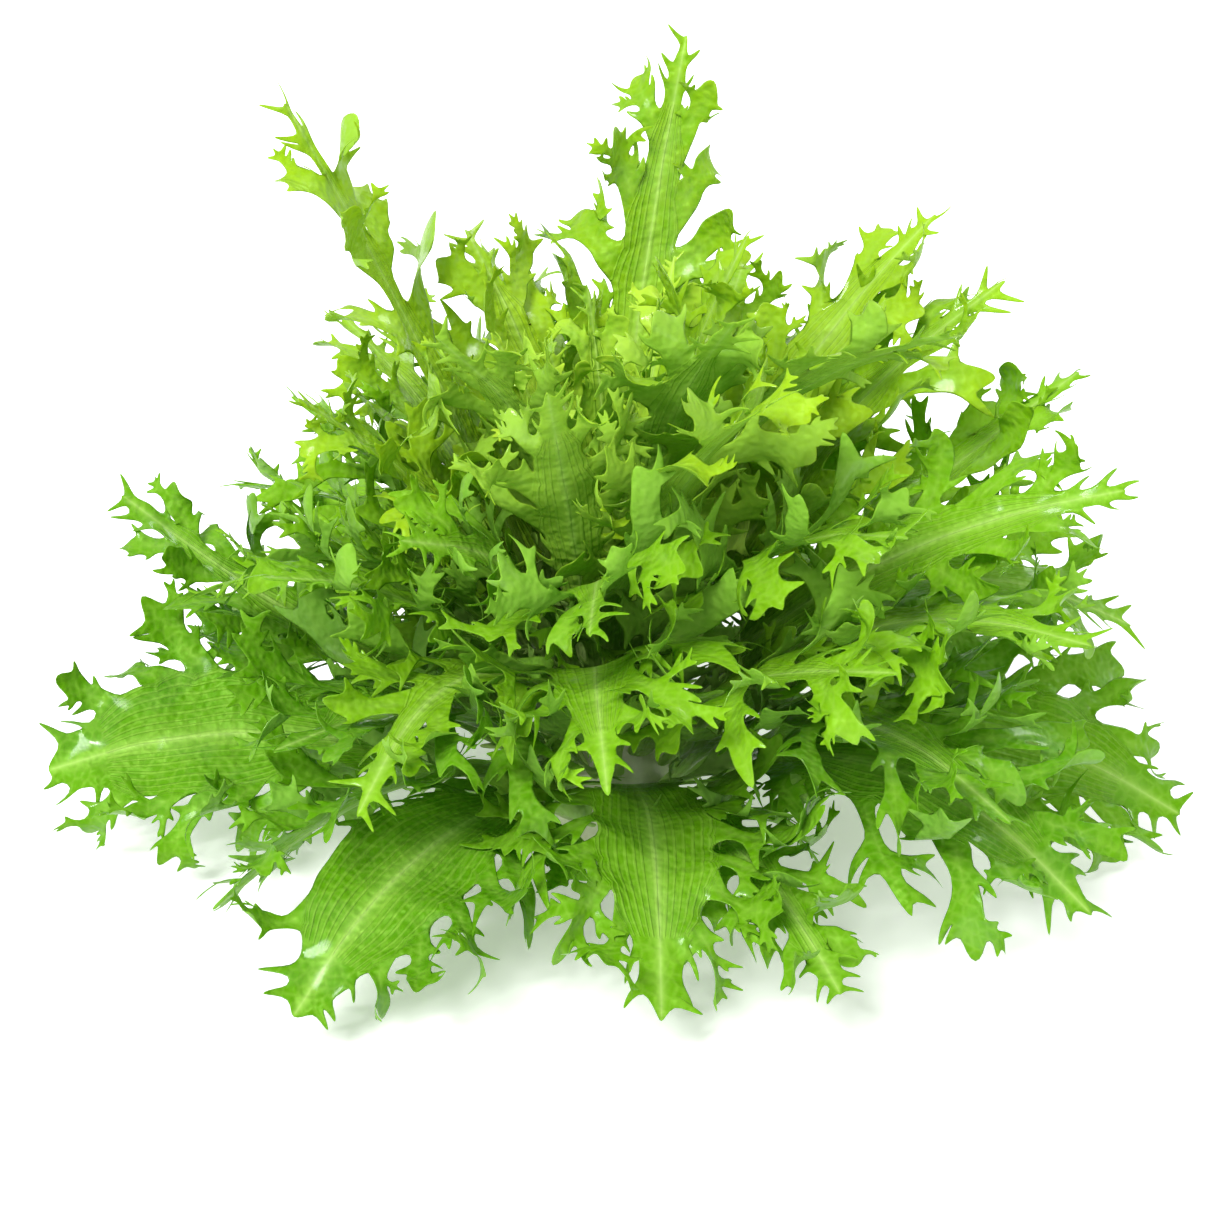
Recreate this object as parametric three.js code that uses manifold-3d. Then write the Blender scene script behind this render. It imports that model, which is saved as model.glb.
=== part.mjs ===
// A head of curly endive as picked: a short cut stem with a spiral of deeply cut, frilled
// leaves round it. The outer leaves arch out and rest on the surface, the inner ones stand
// and fill the middle, and a few long ones rise above the rest.
// Millimetres, +Z up. The origin is the centre of the cut face, which the head stands on.
// Azimuth 0 points along +X and turns towards +Y; the head is mostly seen from -Y.
import * as THREE from "three";
import { mergeVertices } from "three/addons/utils/BufferGeometryUtils.js";
import Module from "manifold-3d";

// Driving dimensions
const HEAD_REACH_X = 144; // from the crown to the leaf tips at the sides
const HEAD_REACH_Y = 114; // the same, towards the front and the back
const HEAD_REACH_UP = 152; // the same, upwards
const SLOPE = 0.3; // how much lower the head is above its left side
const CROWN_HEIGHT = 20; // the point that the leaf tips are spread round
const STEM_RADIUS = 19;
const STEM_HEIGHT = 56;
const LEAF_COUNT = 61;
const HEART_LEVEL = 0.87; // place on the spiral from which the leaves stay within the head
const SPIRAL_TURN = 137.508; // degrees from one leaf to the next
const SPIRAL_START = 187; // azimuth of the lowest leaf
const STEM_GAP = 0.4; // between a leaf's root and the stem
const LEAF_GAP = 0.3; // between one leaf and another
const RIB_TRIES = 300; // ways of setting a leaf's rib clear of the others
const LOBE_TRIES = 36; // ways of bending a lobe clear of the others
const TOUCHING = 0.4; // cubic millimetres that lobes of one leaf share where they join
const FLOOR_CLEARANCE = 1.3; // least height of the middle of a blade
const FLOOR_SOFTNESS = 3; // how gently a blade levels out above the surface
const BLADE_HALF = 0.45; // half of the blade's thickness
const RIB_ROOT_HALF = 1.3; // half of the rib's thickness where it leaves the stem
const TERMINAL_REACH = 0.55; // length of the end lobe, as a share of the side lobes'
const PATH_STEPS = 6; // steps of the midrib's path for each row
const LOBE_STEPS = 8; // steps of a lobe's path
const LOBE_BREADTH = 0.33; // half-breadth halfway along a lobe, as a share of its root
const TOOTH_REACH = 2.3; // how far a tooth stands off a lobe, as a share of that half-breadth

// The kinds of leaf, from the lowest to the heart. upto is the last place on the spiral, as
// a share of all leaves; rows and petiole are counts of rows along the rib; the rest is in
// millimetres.
const KINDS = [
  { name: "outer_leaf", upto: 0.28, rows: 10, petiole: 2, reach: 36, rib: 9, band: 12, root: 5.8 },
  { name: "middle_leaf", upto: 0.62, rows: 9, petiole: 2, reach: 33, rib: 7, band: 10, root: 4.5 },
  { name: "inner_leaf", upto: 0.87, rows: 8, petiole: 1, reach: 30, rib: 5.4, band: 8.5, root: 3.5 },
  { name: "heart_leaf", upto: 1.01, rows: 6, petiole: 1, reach: 20, rib: 3.8, band: 5.5, root: 2.4 },
];
const COLOURS = {
  outer_leaf: "#6fa92a",
  middle_leaf: "#7fbb2c",
  inner_leaf: "#97c93a",
  heart_leaf: "#c3dc66",
  cut_stem: "#e6eccb",
};

const radians = THREE.MathUtils.degToRad;
const degrees = THREE.MathUtils.radToDeg;
const lerp = THREE.MathUtils.lerp;
const { Manifold, Mesh: SolidMesh } = await Module().then((wasm) => {
  wasm.setup();
  return wasm;
});

// Repeatable draws: the same seed always gives the same numbers.
class Draw {
  constructor(seed) {
    this.state = (seed * 7919 + 104729) % 2147483647;
    for (let i = 0; i < 5; i++) this.next();
  }
  next() {
    this.state = (this.state * 16807) % 2147483647;
    return this.state / 2147483647;
  }
  between(low, high) {
    return low + (high - low) * this.next();
  }
}

function direction(azimuth, elevation) {
  const a = radians(azimuth);
  const e = radians(elevation);
  return new THREE.Vector3(Math.cos(e) * Math.cos(a), Math.cos(e) * Math.sin(a), Math.sin(e));
}

// The stem's outline: its radius at each height, from the cut face to the growing point.
const STEM_PROFILE = [
  [0, STEM_RADIUS - 1.5],
  [2, STEM_RADIUS],
  [9, STEM_RADIUS + 1],
  [22, STEM_RADIUS - 2],
  [36, STEM_RADIUS - 7],
  [49, STEM_RADIUS - 13],
  [STEM_HEIGHT, 0],
];

function stemAt(height) {
  const i = STEM_PROFILE.findIndex(([z]) => z > height) - 1;
  const [z0, r0] = STEM_PROFILE[i];
  const [z1, r1] = STEM_PROFILE[i + 1];
  const radius = lerp(r0, r1, (height - z0) / (z1 - z0));
  return { radius, slope: Math.atan2(r0 - r1, z1 - z0) };
}

// How far the head reaches from its crown in a direction.
function reachTowards(dir) {
  const x = dir.x / HEAD_REACH_X;
  const y = dir.y / HEAD_REACH_Y;
  const z = dir.z / HEAD_REACH_UP;
  const sloped = 1 - SLOPE * Math.max(0, -dir.x) * dir.z;
  return sloped / Math.sqrt(x * x + y * y + z * z);
}

// The leaves that stand out of the mass, each by the way its tip points from the crown.
// far is a share of the usual reach, droop how much the leaf arches over, sway how much it
// bends sideways, roll how much it turns over at the tip, wide a share of the usual breadth,
// broad the same for the undivided middle alone, and fan how far out that middle is broadest.
const STANDING_OUT = [
  { azimuth: 186, rise: 3, far: 1, droop: 26, sway: -6, roll: -50, wide: 0.75, broad: 2.1, fan: 1 },
  { azimuth: 238, rise: 0, far: 1.1, droop: 42, sway: -16, roll: -24, wide: 0.8, broad: 1.8, fan: 0.9 },
  { azimuth: 298, rise: 0, far: 1.1, droop: 30, sway: 0, roll: 20, wide: 0.6, broad: 1, fan: 0 },
  { azimuth: 276, rise: 3, far: 1, droop: 46, sway: -10, roll: -12, wide: 1, broad: 1.3, fan: 0.7 },
  { azimuth: 322, rise: 5, far: 1.06, droop: 46, sway: 12, roll: 24, wide: 1, broad: 1.2, fan: 0.6 },
  { azimuth: 353, rise: 0, far: 1, droop: 34, sway: 4, roll: 46, wide: 0.9, broad: 1.5, fan: 0.7 },
  { azimuth: 250, rise: 17, far: 1, droop: 50, sway: 10, roll: 10, wide: 0.9, broad: 0.9, fan: 0.4 },
  { azimuth: 302, rise: 21, far: 1, droop: 52, sway: -12, roll: -16, wide: 1, broad: 1.2, fan: 0.4 },
  { azimuth: 268, rise: 28, far: 1, droop: 52, sway: 14, roll: 22, wide: 1, broad: 1.2, fan: 0.3 },
  { azimuth: 170, rise: 26, far: 1.1, droop: -4, sway: -8, roll: -20, wide: 0.75, broad: 1, fan: 0 },
  { azimuth: 338, rise: 43, far: 1.06, droop: 36, sway: 16, roll: 30, wide: 0.8, broad: 1.5, fan: 0.3 },
  { azimuth: 14, rise: 38, far: 1.06, droop: 8, sway: 8, roll: 10, wide: 0.8, broad: 1, fan: 0.3 },
  { azimuth: 28, rise: 56, far: 1.1, droop: 16, sway: 0, roll: 15, wide: 0.9, broad: 1.1, fan: 0.5 },
  { azimuth: 176, rise: 66, far: 1.4, droop: 4, sway: 4, roll: -20, wide: 1, broad: 0.8, fan: 0 },
  { azimuth: 84, rise: 67, far: 1.34, droop: 12, sway: -30, roll: 24, wide: 1, broad: 1.3, fan: 0.3 },
];

// What each leaf on the spiral is like before it is set clear of its neighbours.
function leafHabits() {
  const habits = [];
  for (let i = 0; i < LEAF_COUNT; i++) {
    const level = (i + 0.5) / LEAF_COUNT;
    const kind = KINDS.find((k) => level < k.upto);
    const draw = new Draw(i + 1);
    habits.push({
      kind,
      level,
      seed: i + 1,
      azimuth: (SPIRAL_START + i * SPIRAL_TURN) % 360,
      rise: degrees(Math.asin(Math.min(0.985, Math.pow(level / HEART_LEVEL, 0.75)))),
      far: level < HEART_LEVEL ? draw.between(0.9, 1.06) : draw.between(0.62, 0.86),
      droop: lerp(44, 16, level) + draw.between(-20, 18),
      sway: draw.between(-26, 26),
      wide: draw.between(0.9, 1.08),
      roll: draw.between(-45, 45),
      broad: draw.between(0.75, 1.3),
      fan: draw.between(0, 0.9),
      lift: 0,
      slim: 1,
      standsOut: false,
    });
  }
  for (const wanted of STANDING_OUT) {
    const towards = direction(wanted.azimuth, wanted.rise);
    const free = habits.filter((h) => !h.standsOut && h.level < HEART_LEVEL);
    const angle = (h) => direction(h.azimuth, h.rise).angleTo(towards);
    const nearest = free.reduce((best, h) => (angle(h) < angle(best) ? h : best));
    Object.assign(nearest, wanted, { standsOut: true });
  }
  return habits;
}

// The midrib's rows: places, and the frame at each (along, side, up).
function ribRows(habit) {
  const { kind, level } = habit;
  const rootHeight = lerp(8, 50, level) + habit.lift;
  const { radius, slope } = stemAt(rootHeight);
  const crown = new THREE.Vector3(0, 0, CROWN_HEIGHT);
  const towards = direction(habit.azimuth, habit.rise);
  const tip = crown.clone().addScaledVector(towards, reachTowards(towards) * habit.far);
  const onStem = direction(habit.azimuth, 0).multiplyScalar(radius).setZ(rootHeight);
  const chord = tip.clone().sub(onStem);
  const flat = Math.hypot(chord.x, chord.y);
  const chordRise = degrees(Math.atan2(chord.z, flat));
  const launch = Math.min(89, chordRise + 0.77 * habit.droop);
  const finish = chordRise - habit.droop;
  const bow = radians(launch - finish) / 2;
  const length = (chord.length() * bow) / Math.sin(bow || 1) || chord.length();

  const start = direction(habit.azimuth - habit.sway / 2, launch);
  const outOfStem = direction(habit.azimuth, degrees(slope));
  const lean = start.dot(outOfStem);
  const sink = RIB_ROOT_HALF * Math.sqrt(Math.max(0, 1 - lean * lean));
  const place = onStem.addScaledVector(start, (STEM_GAP + sink) / lean);

  const rows = [];
  const total = kind.rows * PATH_STEPS;
  for (let step = 0; step <= total; step++) {
    const t = step / total;
    const heading = habit.azimuth - habit.sway / 2 + habit.sway * t;
    const rise = launch + (finish - launch) * Math.pow(t, 1.3);
    const along = direction(heading, rise);
    if (step % PATH_STEPS === 0) {
      const side = direction(heading + 90, 0).applyAxisAngle(along, radians(habit.roll * t));
      rows.push({ t, along, side, up: along.clone().cross(side), place: place.clone() });
    }
    place.addScaledVector(along, length / total);
  }
  return rows;
}

// Half of the rib's and blade's breadth along a leaf: a broad foot, a narrower petiole,
// then the undivided middle of the blade, narrowing to the tip.
function bandHalf(habit, t) {
  const { kind, wide, broad, fan, slim } = habit;
  const foot = kind.root * slim * (1 - THREE.MathUtils.smoothstep(t, 0, 0.2));
  const swell = Math.sin(Math.PI * Math.pow(lerp(0.12, 0.93, t), 0.8 + 1.5 * fan));
  const blade = kind.band * wide * broad * slim * swell;
  return Math.max(foot, 0.42 * kind.rib, blade);
}

function thicknessHalf(t) {
  return lerp(RIB_ROOT_HALF, BLADE_HALF + 0.15, Math.sqrt(t));
}

// The lobes along both sides. pitch is the angle forward from square, curl the bend out of
// the blade, drift the bend towards the tip, all in degrees.
function lobesOf(habit) {
  const { kind } = habit;
  const draw = new Draw(habit.seed * 31 + 7);
  const lobes = [];
  for (let row = kind.petiole; row < kind.rows; row++) {
    for (const hand of [-1, 1]) {
      const t = (row + 0.5 - kind.petiole) / (kind.rows - kind.petiole);
      const swell = 0.55 + 0.6 * Math.sin(Math.PI * Math.pow(t, 0.8));
      const turn = (row + (hand > 0 ? 1 : 0)) % 2 ? 1 : -1;
      lobes.push({
        seed: habit.seed * 100 + row * 2 + (hand > 0 ? 1 : 0),
        row,
        hand,
        length: kind.reach * habit.wide * swell * draw.between(0.8, 1.2),
        pitch: lerp(16, 56, t) + draw.between(-10, 10),
        curl: turn * draw.between(30, 105) + 10,
        drift: draw.between(4, 40),
        toothed: draw.next() < 0.5,
      });
    }
  }
  return lobes;
}

// Stations halfway and at the end of a lobe's middle: place, breadthways and upward normal.
function lobeStations(lobe, hind, fore, frame) {
  const place = hind.place.clone().add(fore.place).multiplyScalar(0.5);
  const outward = frame.side.clone().multiplyScalar(lobe.hand);
  const found = [];
  for (let step = 0; step <= LOBE_STEPS; step++) {
    const u = step / LOBE_STEPS;
    const pitch = radians(lobe.pitch + lobe.drift * u);
    const curl = radians(lobe.curl * u);
    const level = outward.clone().multiplyScalar(Math.cos(pitch));
    level.addScaledVector(frame.along, Math.sin(pitch));
    const across = outward.clone().multiplyScalar(-Math.sin(pitch));
    across.addScaledVector(frame.along, Math.cos(pitch));
    const ahead = level.clone().multiplyScalar(Math.cos(curl));
    ahead.addScaledVector(frame.up, Math.sin(curl));
    const up = frame.up.clone().multiplyScalar(Math.cos(curl));
    up.addScaledVector(level, -Math.sin(curl));
    if (u === 0.5 || u === 1) found.push({ place: place.clone(), across, up });
    place.addScaledVector(ahead, lobe.length / LOBE_STEPS);
  }
  return found;
}

// A point in the middle of a blade, levelled out above the surface that the head stands on.
function corner(place, up, half) {
  const level = (place.z - FLOOR_CLEARANCE) / FLOOR_SOFTNESS;
  const raised = FLOOR_CLEARANCE + FLOOR_SOFTNESS * Math.log(1 + Math.exp(level));
  const z = level > 20 ? place.z : raised;
  return { place: place.clone().setZ(z), up: up.clone().normalize(), half };
}

// A blade as a sheet of triangles through its middle, thickened to a closed body.
class Sheet {
  constructor() {
    this.corners = [];
    this.triangles = [];
  }
  index(point) {
    const found = this.corners.indexOf(point);
    return found < 0 ? this.corners.push(point) - 1 : found;
  }
  face(points, mirrored = false) {
    const [a, b, c] = points.map((point) => this.index(point));
    this.triangles.push(mirrored ? [a, c, b] : [a, b, c]);
  }
  geometry(thicker) {
    const position = [];
    const put = (i, face) => {
      const { place, up, half } = this.corners[i];
      position.push(...place.clone().addScaledVector(up, face * (half + thicker)).toArray());
    };
    const sides = ([a, b, c]) => [[a, b], [b, c], [c, a]];
    const inner = new Set(this.triangles.flatMap((t) => sides(t).map(([p, q]) => `${q},${p}`)));
    for (const triangle of this.triangles) {
      const [a, b, c] = triangle;
      [a, b, c].forEach((i) => put(i, 1));
      [a, c, b].forEach((i) => put(i, -1));
      for (const [p, q] of sides(triangle)) {
        if (inner.has(`${p},${q}`)) continue;
        [[q, 1], [p, 1], [p, -1], [q, 1], [p, -1], [q, -1]].forEach((end) => put(...end));
      }
    }
    const geometry = new THREE.BufferGeometry();
    return geometry.setAttribute("position", new THREE.Float32BufferAttribute(position, 3));
  }
}

// The undivided middle of a leaf: three corners across each row of the rib, and the tip.
function bladeOf(habit) {
  const rows = ribRows(habit);
  const across = rows.map((row, k) => {
    const half = bandHalf(habit, row.t);
    const thick = thicknessHalf(row.t);
    const cupped = half * lerp(0.3, 0.12, row.t);
    return [-1, 0, 1].map((hand) => {
      const frill = (k + (hand > 0 ? 1 : 0)) % 2 ? 0.12 : -0.12;
      const lift = hand === 0 ? 0 : cupped + frill * half * row.t;
      const place = row.place.clone().addScaledVector(row.side, hand * half);
      place.addScaledVector(row.up, lift);
      return corner(place, row.up, hand === 0 ? thick : Math.max(BLADE_HALF, thick * 0.55));
    });
  });
  const last = rows[habit.kind.rows];
  const reach = habit.kind.reach * TERMINAL_REACH * habit.wide;
  const tip = corner(last.place.clone().addScaledVector(last.along, reach), last.up, BLADE_HALF);
  return { habit, rows, across, tip, lobes: [] };
}

function addBlade(sheet, { across, tip }) {
  for (let k = 0; k + 1 < across.length; k++) {
    for (const j of [0, 1]) {
      sheet.face([across[k][j], across[k + 1][j], across[k + 1][j + 1]]);
      sheet.face([across[k][j], across[k + 1][j + 1], across[k][j + 1]]);
    }
  }
  const [right, centre, left] = across[across.length - 1];
  sheet.face([right, tip, centre]);
  sheet.face([centre, tip, left]);
  return sheet;
}

function addLobe(sheet, leaf, lobe) {
  const edge = lobe.hand < 0 ? 0 : 2;
  const hind = leaf.across[lobe.row][edge];
  const fore = leaf.across[lobe.row + 1][edge];
  const breadth = hind.place.distanceTo(fore.place) * LOBE_BREADTH;
  const [middle, end] = lobeStations(lobe, hind, fore, leaf.rows[lobe.row]);
  const beside = (share) => {
    const place = middle.place.clone().addScaledVector(middle.across, share * breadth);
    return corner(place, middle.up, BLADE_HALF);
  };
  const hindMiddle = beside(-1);
  const foreMiddle = beside(1);
  const mirrored = lobe.hand < 0;
  sheet.face([hind, fore, foreMiddle], mirrored);
  sheet.face([hind, foreMiddle, hindMiddle], mirrored);
  sheet.face([hindMiddle, foreMiddle, corner(end.place, end.up, BLADE_HALF)], mirrored);
  if (lobe.toothed) sheet.face([hind, hindMiddle, beside(-TOOTH_REACH)], mirrored);
  return sheet;
}

function leafGeometry(leaf) {
  const sheet = addBlade(new Sheet(), leaf);
  leaf.lobes.forEach((lobe) => addLobe(sheet, leaf, lobe));
  return sheet.geometry(0);
}

function solidOf(geometry) {
  const bare = geometry.clone().deleteAttribute("normal").deleteAttribute("uv");
  const merged = mergeVertices(bare, 1e-4);
  return new Manifold(
    new SolidMesh({
      numProp: 3,
      vertProperties: merged.attributes.position.array,
      triVerts: new Uint32Array(merged.index.array),
    }),
  );
}

function boxesMeet(a, b) {
  return [0, 1, 2].every((k) => a.min[k] <= b.max[k] && b.min[k] <= a.max[k]);
}

// The same leaf turned and tilted by a draw that grows with each try.
function turned(habit, attempt) {
  const draw = new Draw(habit.seed * 101 + attempt);
  const much = attempt / RIB_TRIES;
  return {
    ...habit,
    azimuth: habit.azimuth + much * draw.between(-26, 26),
    rise: habit.rise + much * draw.between(-12, 16),
    droop: habit.droop + much * draw.between(-25, 20),
    roll: habit.roll + much * draw.between(-40, 40),
    lift: much * draw.between(-7, 5) * (0.2 + habit.level),
    slim: 1 - much * draw.between(0.1, 0.4),
  };
}

// The same lobe bent another way by a draw that grows with each try, and shortened a little.
function bent(lobe, attempt) {
  const draw = new Draw(lobe.seed * 37 + attempt);
  const much = attempt / LOBE_TRIES;
  return {
    ...lobe,
    pitch: lobe.pitch + much * draw.between(-28, 18),
    curl: lerp(lobe.curl, draw.between(-100, 110), Math.sqrt(much)),
    length: lobe.length * (1 - much * draw.between(0.1, 0.6)),
  };
}

// What is already in place, and whether something new would come too near to it.
class Neighbourhood {
  constructor(stem) {
    this.placed = [];
    this.keep(stem, null, false);
  }
  keep(solid, leaf, isBlade) {
    this.placed.push({ solid, leaf, isBlade, box: solid.boundingBox() });
  }
  isClear(solid, leaf) {
    const box = solid.boundingBox();
    const blocking = this.placed.findIndex((other) => {
      const own = other.leaf === leaf;
      if (own && other.isBlade) return false;
      const shared = boxesMeet(box, other.box) ? solid.intersect(other.solid).volume() : 0;
      return shared > (own ? TOUCHING : 0);
    });
    if (blocking > 0) this.placed.unshift(...this.placed.splice(blocking, 1));
    return blocking < 0;
  }
}

function spaced(sheet) {
  return solidOf(sheet.geometry(LEAF_GAP / 2));
}

// The leaves whose ribs stand clear of each other, the ones that stand out first. A leaf
// that finds no room is left out.
function settleBlades(habits, near) {
  const leaves = [];
  for (const habit of [...habits].sort((a, b) => Number(b.standsOut) - Number(a.standsOut))) {
    for (let attempt = 0; attempt <= RIB_TRIES; attempt++) {
      const leaf = bladeOf(turned(habit, attempt));
      const solid = spaced(addBlade(new Sheet(), leaf));
      if (near.isClear(solid, leaf)) {
        near.keep(solid, leaf, true);
        leaves.push(leaf);
        break;
      }
    }
  }
  return leaves.sort((a, b) => a.habit.level - b.habit.level);
}

// Bends every lobe clear, from the leaf tips inwards. A lobe that finds no room is left off.
function settleLobes(leaves, near) {
  const waiting = leaves.flatMap((leaf) => lobesOf(leaf.habit).map((lobe) => ({ leaf, lobe })));
  const fromTip = ({ leaf, lobe }) => leaf.habit.kind.rows - lobe.row;
  waiting.sort((a, b) => fromTip(a) - fromTip(b));
  for (const { leaf, lobe } of waiting) {
    for (let attempt = 0; attempt <= LOBE_TRIES; attempt++) {
      const tried = bent(lobe, attempt);
      const solid = spaced(addLobe(new Sheet(), leaf, tried));
      if (near.isClear(solid, leaf)) {
        near.keep(solid, leaf, false);
        leaf.lobes.push(tried);
        break;
      }
    }
  }
}

function meshOf(name, slot, geometry, roughness) {
  const material = new THREE.MeshStandardMaterial({ color: COLOURS[slot], roughness });
  const mesh = new THREE.Mesh(geometry, material);
  mesh.name = name;
  return mesh;
}

function leafMesh(leaf, number) {
  const geometry = leafGeometry(leaf);
  geometry.computeVertexNormals();
  const slot = leaf.habit.kind.name;
  return meshOf(`${slot}_${String(number).padStart(2, "0")}`, slot, geometry, 0.5);
}

function stemMesh() {
  const outline = STEM_PROFILE.map(([z, r]) => new THREE.Vector2(r, z));
  const geometry = new THREE.LatheGeometry([new THREE.Vector2(0, 0), ...outline], 28);
  geometry.rotateX(Math.PI / 2);
  return meshOf("cut_stem", "cut_stem", geometry, 0.6);
}

const head = new THREE.Group();
const stem = stemMesh();
head.add(stem);
const near = new Neighbourhood(solidOf(stem.geometry));
const leaves = settleBlades(leafHabits(), near);
settleLobes(leaves, near);
for (const { name } of KINDS) {
  const alike = leaves.filter((leaf) => leaf.habit.kind.name === name);
  alike.forEach((leaf, i) => head.add(leafMesh(leaf, i + 1)));
}

export default head;
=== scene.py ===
"""A head of curly endive on a pale studio floor, grown as fine, frilled leaves over the solids.

Laid out as a Blender add-on and run as a script. The growth rules are in millimetres and degrees,
and the finished meshes in metres, in the same frame as the solid model: +Z up, the origin at the
centre of the stem's cut face, and the photograph's side at -Y.

The solid model grows the same leaves, faceted and without frills. It turned leaves and bent lobes
until they cleared their neighbours, and grown_leaves finds which turn and bend each one took.
"""

import math

import bpy
import numpy as np
from bpy.props import FloatProperty, FloatVectorProperty, PointerProperty
from bpy.types import Operator, Panel, PropertyGroup
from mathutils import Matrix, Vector
from mathutils.kdtree import KDTree


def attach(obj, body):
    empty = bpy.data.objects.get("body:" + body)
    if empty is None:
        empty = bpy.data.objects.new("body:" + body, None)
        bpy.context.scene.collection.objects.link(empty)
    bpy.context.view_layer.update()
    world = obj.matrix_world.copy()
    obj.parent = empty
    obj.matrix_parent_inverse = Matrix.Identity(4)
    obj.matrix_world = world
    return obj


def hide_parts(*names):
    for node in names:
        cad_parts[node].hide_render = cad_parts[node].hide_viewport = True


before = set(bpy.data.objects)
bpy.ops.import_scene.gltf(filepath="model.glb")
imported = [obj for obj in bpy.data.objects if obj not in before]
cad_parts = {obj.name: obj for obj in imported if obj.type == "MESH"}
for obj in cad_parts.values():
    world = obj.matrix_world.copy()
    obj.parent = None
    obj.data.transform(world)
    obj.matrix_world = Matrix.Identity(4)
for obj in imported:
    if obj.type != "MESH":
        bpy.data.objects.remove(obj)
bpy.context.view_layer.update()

bl_info = {
    "name": "Curly Endive Head",
    "version": (1, 0, 0),
    "blender": (4, 5, 0),
    "location": "View3D > Sidebar > Endive",
    "description": "Grows a head of curly endive leaf by leaf, and sets it on a pale studio floor",
    "category": "Object",
}

MM = 0.001

# Growth rules, the same as the solid model's

HEAD_REACH = np.array([144.0, 114.0, 152.0])  # from the crown: sideways, to the front, and up
SLOPE = 0.3  # how much the upper left of the head is drawn in
CROWN_HEIGHT = 20.0  # of the point that the reach is measured from
STEM_RADIUS = 19.0
STEM_HEIGHT = 56.0
LEAF_COUNT = 61  # places on the spiral; a few leaves found no room
HEART_LEVEL = 0.87  # share of the spiral at which the heart begins
SPIRAL_TURN = 137.508
SPIRAL_START = 187.0
ROOT_HEIGHTS = (8, 50)  # where the first and the last leaf spring from the stem
STEM_GAP = 0.4
RIB_TRIES = 300  # ways to turn a leaf
LOBE_TRIES = 36  # ways to bend a lobe
FLOOR_CLEARANCE = 1.3
FLOOR_SOFTNESS = 3.0  # height over which a leaf levels out
FAR_ABOVE = 20  # softnesses above the floor from which nothing is levelled
BLADE_HALF = 0.45  # half of a solid blade's thickness
RIB_ROOT_HALF = 1.3
RIB_SHARE = 0.42  # half of the rib's breadth, as a share of the kind's rib
FOOT_END = 0.2  # share of a leaf over which its foot narrows
CUPS = (0.3, 0.12)  # how far a margin lifts at foot and tip, as a share of half the breadth
MARGIN_WAVE = 0.12
STEEPEST = 89.0  # for a leaf's start
HIGHEST_SINE = 0.985  # of a leaf tip's rise
RISE_POWER = 0.75
ARCH_SHARE = 0.77  # of a leaf's droop that bends its start up
ARCH_POWER = 1.3
TERMINAL_REACH = 0.55  # the end lobe's length, as a share of the kind's reach
PATH_STEPS = 6  # along the rib, for each row of lobes
LOBE_STEPS = 8

# upto: share of the spiral where the kind ends; petiole: rows without lobes. In millimetres:
# reach: a lobe's usual length; rib: the rib's breadth; band, root: half of the blade's, the foot's
KINDS = [
    dict(name="outer_leaf", upto=0.28, rows=10, petiole=2, reach=36, rib=9, band=12, root=5.8),
    dict(name="middle_leaf", upto=0.62, rows=9, petiole=2, reach=33, rib=7, band=10, root=4.5),
    dict(name="inner_leaf", upto=0.87, rows=8, petiole=1, reach=30, rib=5.4, band=8.5, root=3.5),
    dict(name="heart_leaf", upto=1.01, rows=6, petiole=1, reach=20, rib=3.8, band=5.5, root=2.4),
]

# The leaves that stand out of the mass, each with the values of STANDING_KEYS
STANDING_OUT = [
    (186, 3, 1, 26, -6, -50, 0.75, 2.1, 1),
    (238, 0, 1.1, 42, -16, -24, 0.8, 1.8, 0.9),
    (298, 0, 1.1, 30, 0, 20, 0.6, 1, 0),
    (276, 3, 1, 46, -10, -12, 1, 1.3, 0.7),
    (322, 5, 1.06, 46, 12, 24, 1, 1.2, 0.6),
    (353, 0, 1, 34, 4, 46, 0.9, 1.5, 0.7),
    (250, 17, 1, 50, 10, 10, 0.9, 0.9, 0.4),
    (302, 21, 1, 52, -12, -16, 1, 1.2, 0.4),
    (268, 28, 1, 52, 14, 22, 1, 1.2, 0.3),
    (170, 26, 1.1, -4, -8, -20, 0.75, 1, 0),
    (338, 43, 1.06, 36, 16, 30, 0.8, 1.5, 0.3),
    (14, 38, 1.06, 8, 8, 10, 0.8, 1, 0.3),
    (28, 56, 1.1, 16, 0, 15, 0.9, 1.1, 0.5),
    (176, 66, 1.4, 4, 4, -20, 1, 0.8, 0),
    (84, 67, 1.34, 12, -30, 24, 1, 1.3, 0.3),
]
STANDING_KEYS = ("azimuth", "rise", "far", "droop", "sway", "roll", "wide", "broad", "fan")

STEM_PROFILE = [
    (0.0, STEM_RADIUS - 1.5),
    (2.0, STEM_RADIUS),
    (9.0, STEM_RADIUS + 1),
    (22.0, STEM_RADIUS - 2),
    (36.0, STEM_RADIUS - 7),
    (49.0, STEM_RADIUS - 13),
    (STEM_HEIGHT, 0.0),
]


class Draw:
    """Repeatable draws: the same seed always gives the same numbers."""

    MODULUS = 2147483647
    FACTOR = 16807
    SEED_FACTOR, SEED_OFFSET = 7919, 104729
    WARM_UP = 5

    def __init__(self, seed):
        self.state = (seed * self.SEED_FACTOR + self.SEED_OFFSET) % self.MODULUS
        for _ in range(self.WARM_UP):
            self.next()

    def next(self):
        self.state = self.state * self.FACTOR % self.MODULUS
        return self.state / self.MODULUS

    def between(self, low, high):
        return low + (high - low) * self.next()


def lerp(a, b, t):
    """The value at share t from a to b."""
    return a + (b - a) * t


def smoothstep(x, low, high):
    """From 0 at low to 1 at high, easing in and out."""
    s = np.clip((x - low) / (high - low), 0.0, 1.0)
    return s * s * (3 - 2 * s)


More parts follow.
